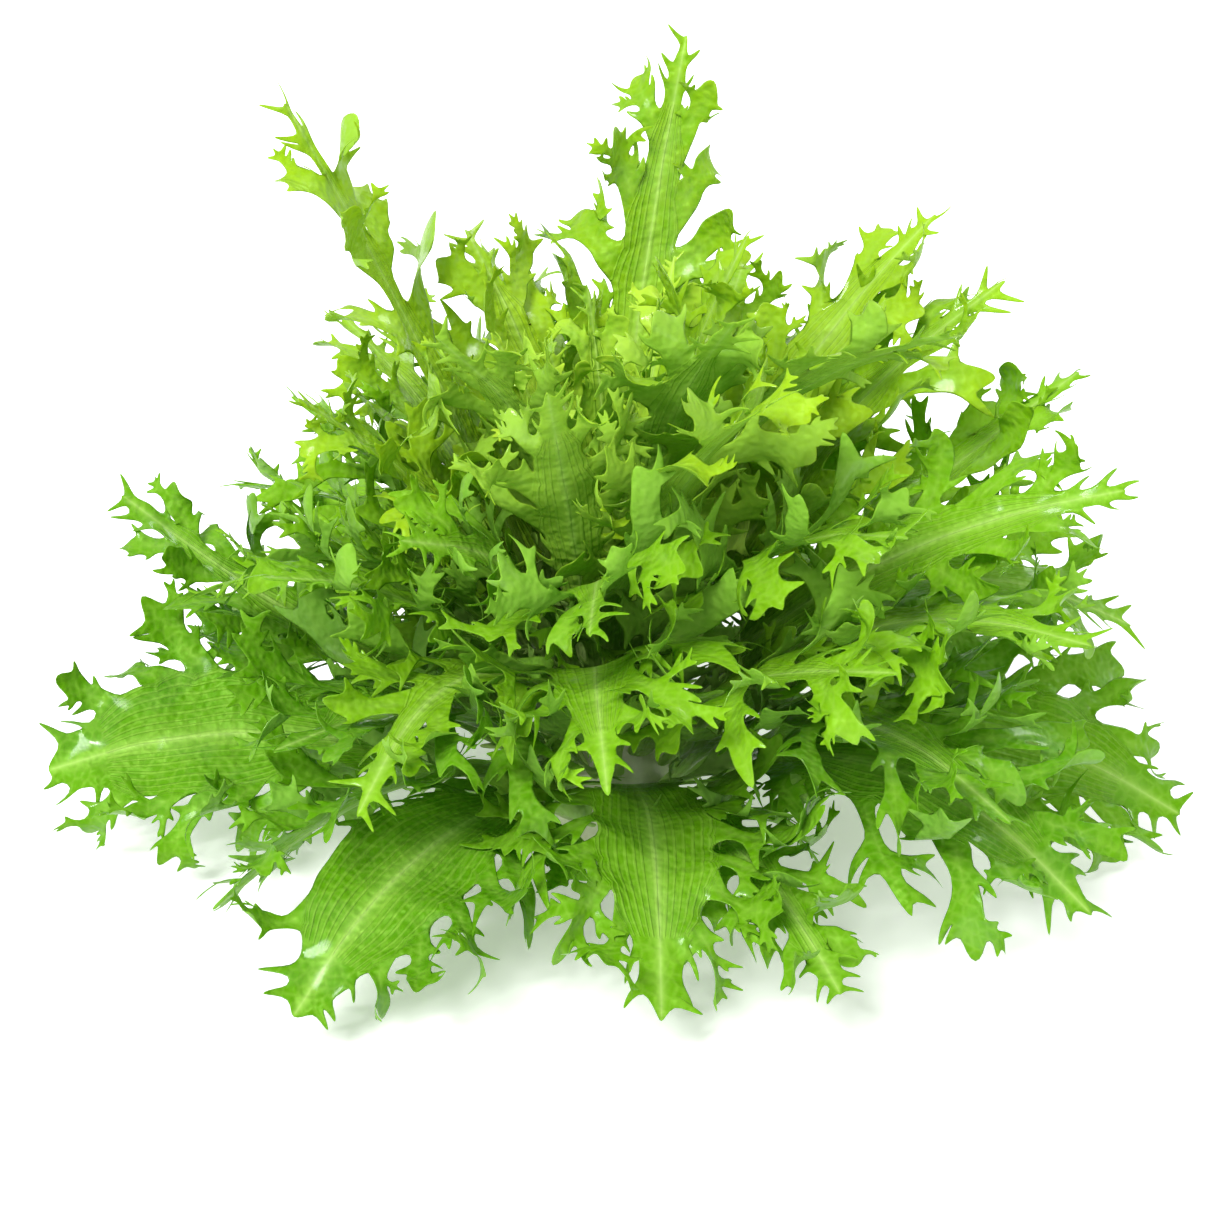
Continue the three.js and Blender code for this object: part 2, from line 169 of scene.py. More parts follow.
def direction(azimuth, elevation):
    """Unit vectors towards an azimuth and elevation in degrees."""
    a, e = np.radians(azimuth), np.radians(elevation)
    a, e = np.broadcast_arrays(a, e)
    return np.stack([np.cos(e) * np.cos(a), np.cos(e) * np.sin(a), np.sin(e)], axis=-1)


def stem_at(height):
    """The stem's radius and the slope of its flank at a height."""
    for (z0, r0), (z1, r1) in zip(STEM_PROFILE, STEM_PROFILE[1:]):
        if z1 > height:
            return lerp(r0, r1, (height - z0) / (z1 - z0)), math.atan2(r0 - r1, z1 - z0)
    raise ValueError(f"no stem at {height} mm")


def reach_towards(towards):
    """How far the head reaches from the crown in a direction."""
    sloped = 1 - SLOPE * max(0.0, -towards[0]) * towards[2]
    return sloped / np.linalg.norm(towards / HEAD_REACH)


def leaf_habits():
    """What each leaf on the spiral is like before it is set clear of its neighbours."""
    habits = []
    for i in range(LEAF_COUNT):
        level = (i + 0.5) / LEAF_COUNT
        draw = Draw(i + 1)
        inside = level >= HEART_LEVEL
        sine = min(HIGHEST_SINE, (level / HEART_LEVEL) ** RISE_POWER)
        habit = dict(
            kind=next(k for k in KINDS if level < k["upto"]),
            level=level,
            seed=i + 1,
            azimuth=(SPIRAL_START + i * SPIRAL_TURN) % 360,
            rise=math.degrees(math.asin(sine)),
            far=draw.between(0.62, 0.86) if inside else draw.between(0.9, 1.06),
            droop=lerp(44, 16, level) + draw.between(-20, 18),
            sway=draw.between(-26, 26),
            wide=draw.between(0.9, 1.08),
            roll=draw.between(-45, 45),
            broad=draw.between(0.75, 1.3),
            fan=draw.between(0, 0.9),
            lift=0.0,
            slim=1.0,
            stands_out=False,
        )
        habits.append(habit)
    for values in STANDING_OUT:
        wanted = dict(zip(STANDING_KEYS, values))
        towards = direction(wanted["azimuth"], wanted["rise"])
        free = [h for h in habits if not h["stands_out"] and h["level"] < HEART_LEVEL]
        nearest = max(free, key=lambda h: float(direction(h["azimuth"], h["rise"]) @ towards))
        nearest.update(wanted, stands_out=True)
    return habits


def turned(habit, attempt):
    """The same leaf turned and tilted by a draw that grows with each try."""
    draw = Draw(habit["seed"] * 101 + attempt)
    much = attempt / RIB_TRIES
    changed = dict(habit)
    changed["azimuth"] += much * draw.between(-26, 26)
    changed["rise"] += much * draw.between(-12, 16)
    changed["droop"] += much * draw.between(-25, 20)
    changed["roll"] += much * draw.between(-40, 40)
    changed["lift"] = much * draw.between(-7, 5) * (0.2 + habit["level"])
    changed["slim"] = 1 - much * draw.between(0.1, 0.4)
    return changed


def bent(lobe, attempt):
    """The same lobe bent another way by a draw that grows with each try, and a little shorter."""
    draw = Draw(lobe["seed"] * 37 + attempt)
    much = attempt / LOBE_TRIES
    changed = dict(lobe)
    changed["pitch"] += much * draw.between(-28, 18)
    changed["curl"] = lerp(lobe["curl"], draw.between(-100, 110), math.sqrt(much))
    changed["length"] *= 1 - much * draw.between(0.1, 0.6)
    return changed


class RibPath:
    """A leaf's midrib: its place and frame at any share t of its length."""

    def __init__(self, habit):
        self.habit = habit
        kind = habit["kind"]
        root_height = lerp(*ROOT_HEIGHTS, habit["level"]) + habit["lift"]
        radius, slope = stem_at(root_height)
        towards = direction(habit["azimuth"], habit["rise"])
        tip = np.array([0, 0, CROWN_HEIGHT]) + towards * reach_towards(towards) * habit["far"]
        on_stem = direction(habit["azimuth"], 0) * radius
        on_stem[2] = root_height
        chord = tip - on_stem
        chord_rise = math.degrees(math.atan2(chord[2], math.hypot(chord[0], chord[1])))
        self.launch = min(STEEPEST, chord_rise + ARCH_SHARE * habit["droop"])
        self.finish = chord_rise - habit["droop"]
        bow = math.radians(self.launch - self.finish) / 2
        span = float(np.linalg.norm(chord))
        self.length = span * bow / math.sin(bow) if bow else span

        start = direction(habit["azimuth"] - habit["sway"] / 2, self.launch)
        lean = float(start @ direction(habit["azimuth"], math.degrees(slope)))
        sink = RIB_ROOT_HALF * math.sqrt(max(0.0, 1 - lean * lean))
        first = on_stem + start * (STEM_GAP + sink) / lean
        total = kind["rows"] * PATH_STEPS
        steps = self.along(np.arange(total) / total) * self.length / total
        self.places = np.vstack([first, first + np.cumsum(steps, axis=0)])

    def heading(self, t):
        """Azimuth of the rib at t."""
        return self.habit["azimuth"] - self.habit["sway"] / 2 + self.habit["sway"] * t

    def along(self, t):
        """Direction of the rib at t."""
        rise = self.launch + (self.finish - self.launch) * np.power(t, ARCH_POWER)
        return direction(self.heading(t), rise)

    def at(self, t):
        """Place, along, side and up at each t."""
        t = np.asarray(t, dtype=float)
        along = self.along(t)
        level = direction(self.heading(t) + 90, 0)
        roll = np.radians(self.habit["roll"] * t)[:, None]
        side = level * np.cos(roll) + np.cross(along, level) * np.sin(roll)
        step = t * (len(self.places) - 1)
        place = np.stack(
            [np.interp(step, np.arange(len(self.places)), self.places[:, k]) for k in range(3)],
            axis=-1,
        )
        return place, along, side, np.cross(along, side)


def band_half(habit, t):
    """Half of the undivided middle's breadth along a leaf."""
    kind = habit["kind"]
    foot = kind["root"] * habit["slim"] * (1 - smoothstep(t, 0, FOOT_END))
    swell = np.sin(math.pi * np.power(lerp(0.12, 0.93, t), 0.8 + 1.5 * habit["fan"]))
    blade = kind["band"] * habit["wide"] * habit["broad"] * habit["slim"] * swell
    return np.maximum(np.maximum(foot, RIB_SHARE * kind["rib"]), blade)


def lobes_of(habit):
    """What each lobe of a leaf is like before it is set clear of its neighbours."""
    kind = habit["kind"]
    draw = Draw(habit["seed"] * 31 + 7)
    lobes = []
    for row in range(kind["petiole"], kind["rows"]):
        for hand in (-1, 1):
            t = (row + 0.5 - kind["petiole"]) / (kind["rows"] - kind["petiole"])
            swell = 0.55 + 0.6 * math.sin(math.pi * t**0.8)
            turn = 1 if (row + (hand > 0)) % 2 else -1
            lobe = dict(
                seed=habit["seed"] * 100 + row * 2 + (hand > 0),
                row=row,
                hand=hand,
                length=kind["reach"] * habit["wide"] * swell * draw.between(0.8, 1.2),
                pitch=lerp(16, 56, t) + draw.between(-10, 10),
                curl=turn * draw.between(30, 105) + 10,
                drift=draw.between(4, 40),
            )
            lobes.append(lobe)
            draw.next()
    return lobes


def levelled(places):
    """The same points, levelled out above the surface that the head stands on."""
    places = np.array(places, dtype=float)
    level = (places[..., 2] - FLOOR_CLEARANCE) / FLOOR_SOFTNESS
    raised = FLOOR_CLEARANCE + FLOOR_SOFTNESS * np.log1p(np.exp(np.minimum(level, FAR_ABOVE)))
    places[..., 2] = np.where(level > FAR_ABOVE, places[..., 2], raised)
    return places


def margin_place(habit, row, hand):
    """A corner of the solid leaf's margin beside a row of its rib."""
    place, _, side, up = (v[0] for v in habit["path"].at([row / habit["kind"]["rows"]]))
    t = row / habit["kind"]["rows"]
    half = float(band_half(habit, t))
    wave = MARGIN_WAVE if (row + (hand > 0)) % 2 else -MARGIN_WAVE
    lift = half * lerp(*CUPS, t) + wave * half * t
    return levelled(place + side * hand * half + up * lift)


def lobe_stations(habit, lobe):
    """Place, ahead, across and up at each step along a lobe's middle."""
    t = lobe["row"] / habit["kind"]["rows"]
    _, along, side, up = (v[0] for v in habit["path"].at([t]))
    hind = margin_place(habit, lobe["row"], lobe["hand"])
    fore = margin_place(habit, lobe["row"] + 1, lobe["hand"])
    u = np.arange(LOBE_STEPS + 1)[:, None] / LOBE_STEPS
    pitch = np.radians(lobe["pitch"] + lobe["drift"] * u)
    curl = np.radians(lobe["curl"] * u)
    outward = side * lobe["hand"]
    level = outward * np.cos(pitch) + along * np.sin(pitch)
    across = along * np.cos(pitch) - outward * np.sin(pitch)
    ahead = level * np.cos(curl) + up * np.sin(curl)
    lifted = up * np.cos(curl) - level * np.sin(curl)
    steps = ahead[:-1] * lobe["length"] / LOBE_STEPS
    middle = (hind + fore) / 2
    places = np.vstack([middle, middle + np.cumsum(steps, axis=0)])
    return places, ahead, across, lifted, float(np.linalg.norm(fore - hind))


class SolidCorners:
    """The corners of the solid leaves, to find which of a leaf's possible forms they took."""

    NEAR = 3e-5  # metres, within which a point is on a corner

    def __init__(self):
        self.names = []
        places = []
        for name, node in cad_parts.items():
            if name == "cut_stem":
                continue
            corners = np.empty(len(node.data.vertices) * 3)
            node.data.vertices.foreach_get("co", corners)
            for corner in corners.reshape(-1, 3):
                places.append(corner)
                self.names.append(name)
        self.tree = KDTree(len(places))
        for i, place in enumerate(places):
            self.tree.insert(place, i)
        self.tree.balance()

    def owner(self, place, up):
        """The name of the solid leaf with a corner on this point of its upper face, or None."""
        wanted = levelled(place) + up / np.linalg.norm(up) * BLADE_HALF
        _, index, distance = self.tree.find(wanted * MM)
        return self.names[index] if distance < self.NEAR else None


def grown_leaves():
    """Every solid leaf's name with its habit, rib path and lobes."""
    corners = SolidCorners()
    found = {}
    for habit in leaf_habits():
        for attempt in range(RIB_TRIES + 1):
            tried = turned(habit, attempt)
            path = RibPath(tried)
            place, along, _, up = (v[0] for v in path.at([1.0]))
            reach = tried["kind"]["reach"] * TERMINAL_REACH * tried["wide"]
            name = corners.owner(place + along * reach, up)
            if name is None or name in found:
                continue
            tried["path"] = path
            tried["lobes"] = []
            for lobe in lobes_of(tried):
                for bend in range(LOBE_TRIES + 1):
                    bent_lobe = bent(lobe, bend)
                    stations = lobe_stations(tried, bent_lobe)
                    if corners.owner(stations[0][-1], stations[3][-1]) == name:
                        bent_lobe["stations"] = stations
                        tried["lobes"].append(bent_lobe)
                        break
            found[name] = tried
            break
    missing = [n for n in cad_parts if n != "cut_stem" and n not in found]
    if missing:
        raise RuntimeError(f"no growth found for {', '.join(missing)}")
    return found


# Fine leaves

FINE = 4  # fine rows for each row of the solid leaf
BROAD = 11.0  # half of a leaf's greatest breadth from which its sides are folded
LOWEST = 0.15  # height of a leaf's lowest point
RIB_MOST, RIB_TAPER, RIB_EDGE = 0.72, 0.7, 0.35  # share of the blade, taper, millimetres added
FOLD_DEPTH, FOLD_PACE = 0.09, 0.62  # as a share of half the breadth, and in radians a fine row
WAVE_DEPTH, WAVE_PACE = 1.3, 0.95  # of a margin, in millimetres and radians a fine row
UNEVEN_OUT, UNEVEN_UP = 0.6, 0.4  # of a margin
END_PLACES = np.array([0.14, 0.3, 0.46, 0.62, 0.78, 0.92])  # along the end lobe
END_BREADTHS = np.array([1.02, 0.98, 0.86, 0.68, 0.44, 0.18])  # there, as shares of its root's
END_POINT = 0.08  # of the end lobe's tip past its last row, as a share of the lobe
LOBE_BREADTH = 0.33  # half of it, as a share of the margin between two rows
LOBE_BREADTHS, COLUMN_BREADTHS = (0.55, 1.1), (0.75, 1.2)  # as shares of the usual
LOBE_RUFFLES, RUFFLE_PACE = (0.5, 1.7), 7.5  # in millimetres, and in radians a lobe
LOBE_HOLLOW = 0.25  # how far a lobe's sides lift, as a share of half its breadth
RIBBON = np.array([1.02, 0.72, 0.76, 0.96, 1.0, 0.85, 0.52])  # a lobe's breadth, root to tip
FRILL_CHANCE = (0.25, 0.5, 0.5, 0.62, 0.62, 0.5)  # along a lobe, root to tip
FRINGE = (0.15, 0.75)  # how young a lobe's root looks, and how much younger its tip
TOOTH_STEPS, FORK_STEPS = 2, 4
FORK_CHANCE = 0.46
TOOTH_LENGTHS, FORK_LENGTHS = (0.13, 0.28), (0.3, 0.5)  # as shares of the lobe
FRILL_SHORTEST, FRILL_LONGEST = 3.0, 17.0
FORK_TOOTH_CHANCE = 0.36
FORK_TOOTH_LENGTHS = (0.22, 0.42)  # as shares of the fork
MARGIN_TOOTH_CHANCE = 0.45
MARGIN_TOOTH_LENGTHS = (3.5, 9.0)
END_TOOTH_CHANCE = 0.85
END_TOOTH_LENGTHS = (0.3, 0.6)  # as shares of the end lobe


class Sheet:
    """A blade as quads through its middle, thickened to a closed mesh."""

    def __init__(self):
        self.places, self.ups, self.halves, self.tones = [], [], [], []
        self.faces = []

    def add(self, place, up, half, vein=0.0, along=0.0, fringe=0.0, across=0.0):
        """A corner with half of its thickness and its tones. Returns its number."""
        self.places.append(place)
        self.ups.append(up)
        self.halves.append(half)
        self.tones.append((vein, along, fringe, across))
        return len(self.places) - 1

    def face(self, corners, mirrored=False):
        self.faces.append(tuple(reversed(corners)) if mirrored else tuple(corners))

    def mesh(self, name, tint):
        """Both faces of the blade, and a strip round its open edges."""
        places = levelled(self.places)
        ups = np.array(self.ups)
        ups /= np.linalg.norm(ups, axis=1)[:, None]
        halves = np.array(self.halves)[:, None]
        count = len(places)
        faces = list(self.faces)
        faces += [tuple(i + count for i in reversed(f)) for f in self.faces]
        edges = {(a, b) for f in self.faces for a, b in zip(f, f[1:] + f[:1])}
        faces += [(b, a, a + count, b + count) for a, b in sorted(edges) if (b, a) not in edges]
        both = np.vstack([places + ups * halves, places - ups * halves])
        both[:, 2] = np.maximum(both[:, 2], LOWEST)
        mesh = bpy.data.meshes.new(name)
        mesh.from_pydata((both * MM).tolist(), [], faces)
        tones = np.array(self.tones * 2)
        back = np.repeat([0.0, 1.0], count)
        tints = np.full(2 * count, tint)
        put_vectors(mesh, "leaf_tone", tones[:, :3])
        put_vectors(mesh, "leaf_place", np.stack([tones[:, 3], back, tints], -1))
        mesh.shade_smooth()
        mesh.validate()
        return mesh


def put_vectors(mesh, name, values):
    """One vector for each corner of a mesh, for its material."""
    attribute = mesh.attributes.new(name, "FLOAT_VECTOR", "POINT")
    attribute.data.foreach_set("vector", np.ascontiguousarray(values, dtype=np.float32).ravel())


def add_frill(sheet, base, frames, length, draw, mirrored, fringe, steps=TOOTH_STEPS):
    """A pointed strip of blade on the margin from base[0] to base[1]: a tooth, or a longer fork.

    frames is (outward, onward, up): away from the margin, towards the tip, and out of the blade.
    """
    outward, onward, up = frames
    a, b = (np.array(sheet.places[i]) for i in base)
    width = max(1e-6, float(np.linalg.norm(b - a)))
    edge = (b - a) / width
    forked = steps > TOOTH_STEPS
    lean = math.radians(draw.between(12, 48))
    turn = math.radians(draw.between(0, 45))
    curl = math.radians(draw.between(25, 95) if forked else draw.between(0, 40))
    curl *= -1 if draw.next() < 0.5 else 1
    breadth = max(0.8, min(0.44 * width, 0.15 * length + 0.7))
    half, tone = sheet.halves[base[0]], sheet.tones[base[0]]
    last = min(1.0, fringe + 0.4)
    place, near, far = (a + b) / 2, base[0], base[1]
    for i in range(1, steps + 1):
        u = i / steps
        planar = outward * math.cos(lean + turn * u) + onward * math.sin(lean + turn * u)
        ahead = planar * math.cos(curl * u) + up * math.sin(curl * u)
        normal = up * math.cos(curl * u) - planar * math.sin(curl * u)
        flank = edge - ahead * float(edge @ ahead)
        flank /= max(1e-6, float(np.linalg.norm(flank)))
        place = place + ahead * length / steps
        wide = max(0.3, breadth * (1 - u**1.6))
        thick = half * lerp(1.0, 0.6, u)
        tint = lerp(fringe, last, u)
        new_near = sheet.add(place - flank * wide, normal, thick, 0.1, tone[1], tint)
        new_far = sheet.add(place + flank * wide, normal, thick, 0.1, tone[1], tint)
        sheet.face((near, far, new_far, new_near), mirrored)
        if forked and i < steps:
            for side, pair in ((-1, (near, new_near)), (1, (new_far, far))):
                if draw.next() < FORK_TOOTH_CHANCE:
                    away = (flank * side, ahead, normal)
                    tooth = draw.between(*FORK_TOOTH_LENGTHS) * length
                    add_frill(sheet, pair, away, tooth, draw, mirrored, tint)
        near, far = new_near, new_far


def fine_rows(habit, reach):
    """Place, along, side, up, half breadth and t at each fine row of a leaf and its end lobe."""
    count = habit["kind"]["rows"] * FINE
    t = np.arange(count + 1) / count
    place, *frames = habit["path"].at(t)
    half = band_half(habit, t)
    place = np.vstack([place, place[-1] + frames[0][-1] * (reach * END_PLACES)[:, None]])
    along, side, up = (np.vstack([v, np.repeat(v[-1:], len(END_PLACES), axis=0)]) for v in frames)
    half = np.concatenate([half, half[-1] * END_BREADTHS])
    return place, along, side, up, half, np.concatenate([t, np.ones(len(END_PLACES))])


def add_band(sheet, habit, look):
    """The rib, the undivided blade beside it and the end lobe. Returns the grid of its corners."""
    kind = habit["kind"]
    draw = Draw(habit["seed"] * 53 + 11)
    reach = kind["reach"] * TERMINAL_REACH * habit["wide"]
    place, along, side, up, half, t = fine_rows(habit, reach)
    first_end_row = kind["rows"] * FINE
    widest = float(half.max())
    phases = (draw.between(0, 6.28), draw.between(0, 6.28))
    grid = []
    for k in range(len(t)):
        rib = RIB_SHARE * kind["rib"] * (1 - RIB_TAPER * t[k]) + RIB_EDGE
        rib = min(RIB_MOST * half[k], rib)
        thick = lerp(look.rib_half, look.blade_half + 0.12, t[k] ** 0.6)
        thin = lerp(0.55 * look.rib_half, look.blade_half, min(1.0, 3.5 * t[k]))
        row = []
        between = (rib / half[k] + 1) / 2
        shares = (-1.0, -between, -rib / half[k], 0.0, rib / half[k], between, 1.0)
        if widest < BROAD:
            shares = (-1.0, -rib / half[k], 0.0, rib / half[k], 1.0)
        for share in shares:
            hand = float(np.sign(share))
            offset = share * half[k]
            wave = -math.cos(math.pi * k / FINE) * (-1 if hand > 0 else 1)
            cup = lerp(*CUPS, t[k]) + MARGIN_WAVE * wave * t[k]
            lift = cup * half[k] * abs(share) ** 1.6
            edge = abs(share) == 1.0
            inner = abs(share) == between
            if inner:
                fold = math.sin(phases[hand > 0] + 1.7 + k * FOLD_PACE)
                lift += FOLD_DEPTH * half[k] * fold * look.ruffle * min(1.0, 3 * t[k])
            if edge and t[k] > 0.15:
                offset += hand * draw.between(-UNEVEN_OUT, UNEVEN_OUT)
                swing = math.sin(phases[hand > 0] + k * WAVE_PACE) * min(1.0, half[k] / 9)
                uneven = draw.between(-UNEVEN_UP, UNEVEN_UP)
                lift += (WAVE_DEPTH * swing + uneven) * look.ruffle * t[k]
            at = place[k] + side[k] * offset + up[k] * lift
            deep = thick if hand == 0 else thin if edge or inner else 0.72 * thick
            vein = 1.0 if hand == 0 else 0.0 if edge else 0.18 if inner else 0.6
            fringe = 0.25 * (k >= first_end_row)
            row.append(sheet.add(at, up[k], deep, vein, t[k], fringe, share * widest))
        grid.append(row)
    margin = len(grid[0]) - 1
    for hind, fore in zip(grid, grid[1:]):
        for j in range(margin):
            sheet.face((hind[j], fore[j], fore[j + 1], hind[j + 1]))
    point = place[-1] + along[-1] * reach * END_POINT
    tip = sheet.add(point, up[-1], look.blade_half * 0.6, 0.4, 1.0, 0.9)
    last = grid[-1]
    for j in range(margin):
        sheet.face((last[j], tip, last[j + 1]))
    frames = (along, side, up)
    add_end_teeth(sheet, grid, frames, first_end_row, reach, draw)
    return grid, frames, draw


def tooth_base(grid, k, j, hand):
    """The margin's corners from fine row k to the next, in the order that add_frill faces."""
    return (grid[k][j], grid[k + 1][j]) if hand > 0 else (grid[k + 1][j], grid[k][j])


def add_end_teeth(sheet, grid, frames, first, reach, draw):
    """Long teeth along both margins of the end lobe."""
    along, side, up = frames
    for hand, j in ((-1, 0), (1, len(grid[0]) - 1)):
        for k in range(first, len(grid) - 2, 2):
            if draw.next() < END_TOOTH_CHANCE:
                start = k + (1 if draw.next() < 0.5 else 0)
                base = tooth_base(grid, start, j, hand)
                away = (side[start] * hand, along[start], up[start])
                length = draw.between(*END_TOOTH_LENGTHS) * reach
                add_frill(sheet, base, away, length, draw, False, 0.3)


def add_margin_teeth(sheet, habit, grid, frames, draw):
    """Small teeth along the margins that carry no lobe."""
    along, side, up = frames
    rooted = {(lobe["row"], lobe["hand"]) for lobe in habit["lobes"]}
    for row in range(habit["kind"]["rows"]):
        for hand, j in ((-1, 0), (1, len(grid[0]) - 1)):
            for k in (0, 2):
                if row == 0 or (row, hand) in rooted or draw.next() > MARGIN_TOOTH_CHANCE:
                    continue
                fine = row * FINE + k
                base = tooth_base(grid, fine, j, hand)
                away = (side[fine] * hand, along[fine], up[fine])
                length = draw.between(*MARGIN_TOOTH_LENGTHS)
                add_frill(sheet, base, away, length, draw, False, 0.1)


def add_lobe(sheet, habit, lobe, grid, look):
    """A twisted ribbon of blade with pointed teeth, rooted on the margin beside one row."""
    mirrored = lobe["hand"] < 0
    j = 0 if mirrored else len(grid[0]) - 1
    k = lobe["row"] * FINE
    t = lobe["row"] / habit["kind"]["rows"]
    draw = Draw(lobe["seed"] * 17 + 3)
    places, _, across, up, spacing = lobe["stations"]
    breadth = spacing * LOBE_BREADTH * draw.between(*LOBE_BREADTHS)
    twist = draw.between(-look.twist, look.twist)
    phase = draw.between(0, 2 * math.pi)
    ruffle = draw.between(*LOBE_RUFFLES) * look.ruffle
    first = k + (1 if draw.next() < 0.5 else 0)
    root = [grid[first + i][j] for i in range(4)]
    columns, frames = [None], [None]
    for i in range(1, LOBE_STEPS):
        u = i / LOBE_STEPS
        angle = twist * u**1.3
        flank = across[i] * math.cos(angle) + up[i] * math.sin(angle)
        normal = up[i] * math.cos(angle) - across[i] * math.sin(angle)
        half = breadth * RIBBON[i - 1]
        wave = ruffle * math.sin(phase + RUFFLE_PACE * u) * min(1.0, 2 * u)
        row = []
        for c in (-1, 0, 1):
            wide = c * half * draw.between(*COLUMN_BREADTHS)
            lift = wave * c + LOBE_HOLLOW * half * abs(c)
            at = places[i] + flank * wide + normal * lift
            vein = 0.8 * (1 - 0.55 * u) if c == 0 else 0.0
            thick = look.blade_half * (1.35 - 0.55 * u if c == 0 else 1 - 0.3 * u)
            row.append(sheet.add(at, normal, thick, vein, t, FRINGE[0] + FRINGE[1] * u))
        columns.append(row)
        frames.append((flank, normal))
    hind, middle, fore = columns[1]
    sheet.face((root[0], root[1], middle, hind), mirrored)
    sheet.face((root[1], root[2], root[3], fore, middle), mirrored)
    for near, far in zip(columns[1:], columns[2:]):
        for c in (0, 1):
            sheet.face((near[c], near[c + 1], far[c + 1], far[c]), mirrored)
    tip = sheet.add(places[-1], frames[-1][1], look.blade_half * 0.55, 0.1, t, 1.0)
    last = columns[-1]
    for c in (0, 1):
        sheet.face((last[c], last[c + 1], tip), mirrored)
    add_lobe_teeth(sheet, lobe, columns, frames, draw, look.toothing)


def add_lobe_teeth(sheet, lobe, columns, frames, draw, toothing):
    """Teeth and forks along both sides of a lobe."""
    ahead = lobe["stations"][1]
    for c in (0, 2):
        free_from = 0
        for i in range(1, LOBE_STEPS - 1):
            if i < free_from or draw.next() > FRILL_CHANCE[i - 1] * toothing:
                continue
            flank, normal = frames[i]
            away = (flank * (1 if c == 2 else -1), ahead[i], normal)
            pair = (columns[i][c], columns[i + 1][c])
            base = pair if c == 0 else pair[::-1]
            forked = draw.next() < FORK_CHANCE
            share = draw.between(*(FORK_LENGTHS if forked else TOOTH_LENGTHS))
            length = share * lobe["length"] * (1.1 - 0.7 * abs(i / LOBE_STEPS - 0.4))
            length = min(FRILL_LONGEST, max(FRILL_SHORTEST, length))
            fringe = FRINGE[0] + FRINGE[1] * i / LOBE_STEPS
            steps = FORK_STEPS if forked else TOOTH_STEPS
            add_frill(sheet, base, away, length, draw, lobe["hand"] < 0, fringe, steps)
            free_from = i + (1 if draw.next() < 0.3 else 2)


def leaf_mesh(name, habit, look):
    """A whole fine leaf: band, end lobe, teeth and lobes."""
    sheet = Sheet()
    grid, frames, draw = add_band(sheet, habit, look)
    add_margin_teeth(sheet, habit, grid, frames, draw)
    for lobe in habit["lobes"]:
        add_lobe(sheet, habit, lobe, grid, look)
    return sheet.mesh(name, draw.next())


# Materials

DEEPER = (0.62, 0.74, 0.55)  # a blade's deep patches, as shares of its colour
YOUNGER = (1.55, 1.22, 1.3)  # and its youngest parts
BROWNED = (0.36, 0.2, 0.08, 1.0)  # a cut face that has met the air
STRIPE_SPACING = 2.6  # from one long vein to the next, in millimetres at the widest row


class Nodes:
    """Short calls for a material's nodes."""

    def __init__(self, name):
        self.material = bpy.data.materials.new(name)
        self.material.use_nodes = True
        self.tree = self.material.node_tree
        self.tree.nodes.clear()
        self.output = self.tree.nodes.new("ShaderNodeOutputMaterial")

    def new(self, kind, inputs, **settings):
        """A node of a kind, with its own settings, and with its inputs linked or set."""
        node = self.tree.nodes.new(kind)
        for key, value in settings.items():
            setattr(node, key, value)
        for key, value in inputs.items():
            if isinstance(value, bpy.types.NodeSocket):
                self.tree.links.new(value, node.inputs[key])
            else:
                node.inputs[key].default_value = value
        return node

    def math(self, operation, a, b=0.0):
        return self.new("ShaderNodeMath", {0: a, 1: b}, operation=operation).outputs[0]

    def ramp(self, value, low, high, to_low=0.0, to_high=1.0):
        """From to_low where the value is low to to_high where it is high, easing in and out."""
        ends = {"From Min": low, "From Max": high, "To Min": to_low, "To Max": to_high}
        node = self.new(
            "ShaderNodeMapRange", {"Value": value, **ends}, interpolation_type="SMOOTHSTEP"
        )
        return node.outputs["Result"]

    def mix(self, factor, a, b):
        """Colour a with a share of colour b."""
        inputs = {"Factor": factor, 6: a, 7: b}
        node = self.new("ShaderNodeMix", inputs, data_type="RGBA", blend_type="MIX")
        return node.outputs[2]

    def tinted(self, body, mask, strength, shade):
        """The body's colour with a share of another where the mask says."""
        return self.mix(self.math("MULTIPLY", mask, strength), body, shade)

    def noise(self, scale, detail=0.0, roughness=0.55):
        inputs = {"Vector": self.coordinates(), "Scale": scale, "Detail": detail}
        node = self.new("ShaderNodeTexNoise", {**inputs, "Roughness": roughness})
        return node.outputs["Fac"]

    def net(self, scale):
        """Thin lines round uneven cells, as the smallest veins run."""
        inputs = {"Vector": self.coordinates(), "Scale": scale}
        node = self.new("ShaderNodeTexVoronoi", inputs, feature="DISTANCE_TO_EDGE")
        return self.ramp(node.outputs["Distance"], 0.0, 0.22, to_low=1.0, to_high=0.0)

    def bump(self, height, strength, distance):
        """A normal from a height, for a relief of a distance in metres."""
        inputs = {"Height": height, "Strength": strength, "Distance": distance}
        return self.new("ShaderNodeBump", inputs).outputs[0]

    def principled(self, **values):
        """A Principled shader. Each value is named for its socket, with _ for a space."""
        inputs = {key.replace("_", " "): value for key, value in values.items()}
        return self.new("ShaderNodeBsdfPrincipled", inputs).outputs[0]

    def finish(self, shader):
        self.tree.links.new(shader, self.output.inputs["Surface"])
        return self.material

    def coordinates(self):
        """The object's own coordinates, from one node for the whole material."""
        found = [n for n in self.tree.nodes if n.bl_idname == "ShaderNodeTexCoord"]
        return (found[0] if found else self.new("ShaderNodeTexCoord", {})).outputs["Object"]

    def parts(self, name):
        """The three values that a mesh holds at its corners under a name."""
        attribute = self.new("ShaderNodeAttribute", {}, attribute_name=name)
        return self.new("ShaderNodeSeparateXYZ", {0: attribute.outputs["Vector"]}).outputs


def opaque(values):
    return (*values, 1.0)


